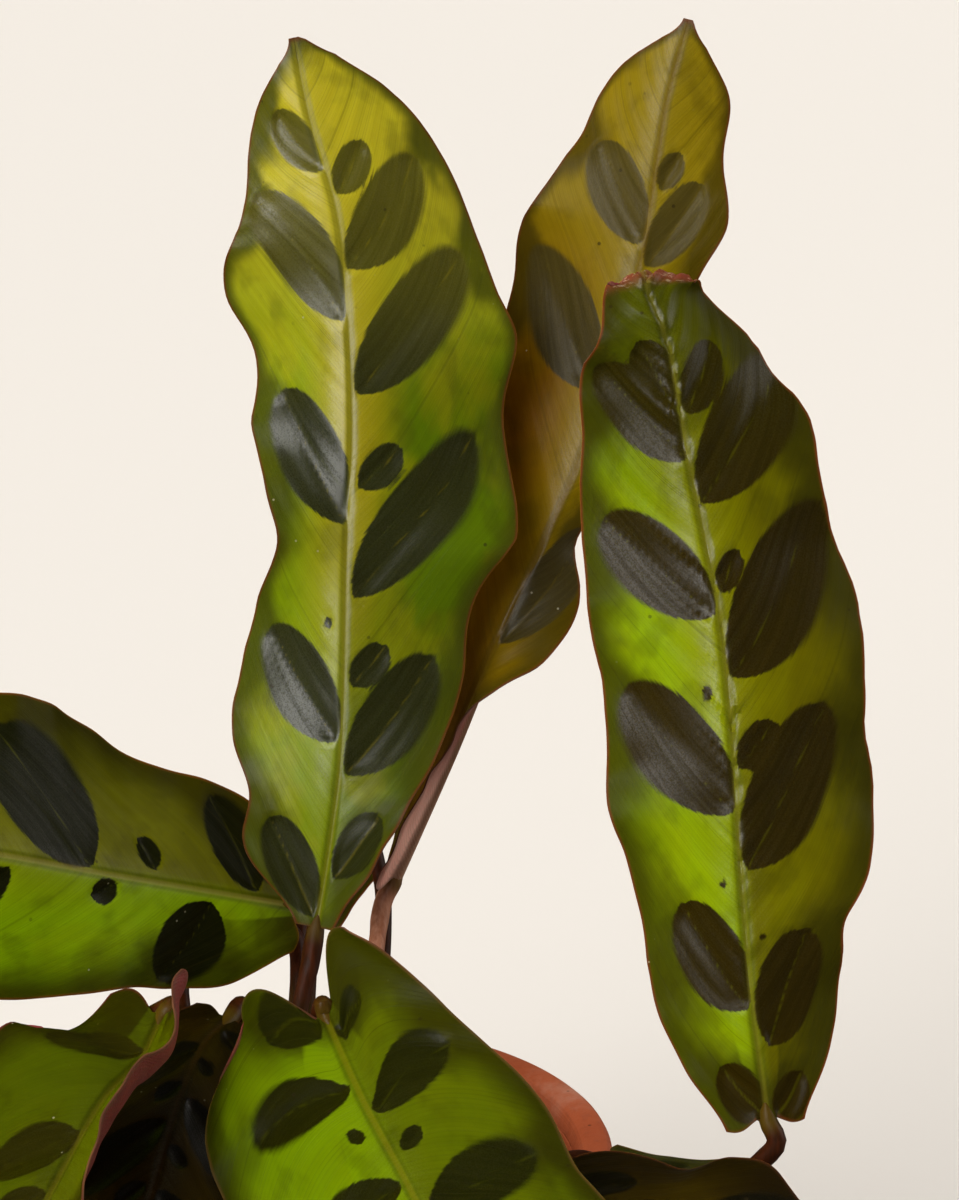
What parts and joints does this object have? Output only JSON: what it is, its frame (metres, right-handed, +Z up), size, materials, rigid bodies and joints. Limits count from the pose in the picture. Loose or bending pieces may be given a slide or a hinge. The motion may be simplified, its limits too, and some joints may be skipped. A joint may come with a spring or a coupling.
{
  "type": "rattlesnake plant",
  "caption": "Potted foliage plant with long wavy-edged upright and arching leaves on slender stalks, growing from soil in a plain round terracotta pot.",
  "frame": {"origin": "middle of the pot's foot, on the surface that the pot stands on", "axes": "+Z up; -Y towards the side from which the plant is mostly seen; +X to the right from there"},
  "size_m": [0.2507, 0.2681, 0.3212],
  "materials": {
    "terracotta": "matte, unglazed",
    "soil": "rough",
    "blade": "satin",
    "stalk": "satin"
  },
  "bodies": {
    "root": {"pot": "terracotta", "soil": "soil", "blade_tall_left": "blade", "stalk_tall_left": "stalk", "blade_tall_middle": "blade", "stalk_tall_middle": "stalk", "blade_tall_right": "blade", "stalk_tall_right": "stalk", "blade_side_left": "blade", "stalk_side_left": "stalk", "blade_low_front": "blade", "stalk_low_front": "stalk", "blade_low_front_left": "blade", "stalk_low_front_left": "stalk", "blade_shaded_left": "blade", "stalk_shaded_left": "stalk", "blade_shaded_right": "blade", "stalk_shaded_right": "stalk", "blade_far_left": "blade", "stalk_far_left": "stalk", "blade_back_upright": "blade", "stalk_back_upright": "stalk", "blade_back_left": "blade", "stalk_back_left": "stalk", "blade_back": "blade", "stalk_back": "stalk", "blade_low_right": "blade", "stalk_low_right": "stalk", "blade_low_middle": "blade", "stalk_low_middle": "stalk", "blade_low_right_front": "blade", "stalk_low_right_front": "stalk", "blade_low_left_front": "blade", "stalk_low_left_front": "stalk", "blade_low_left": "blade", "stalk_low_left": "stalk"}
  },
  "joints": []
}
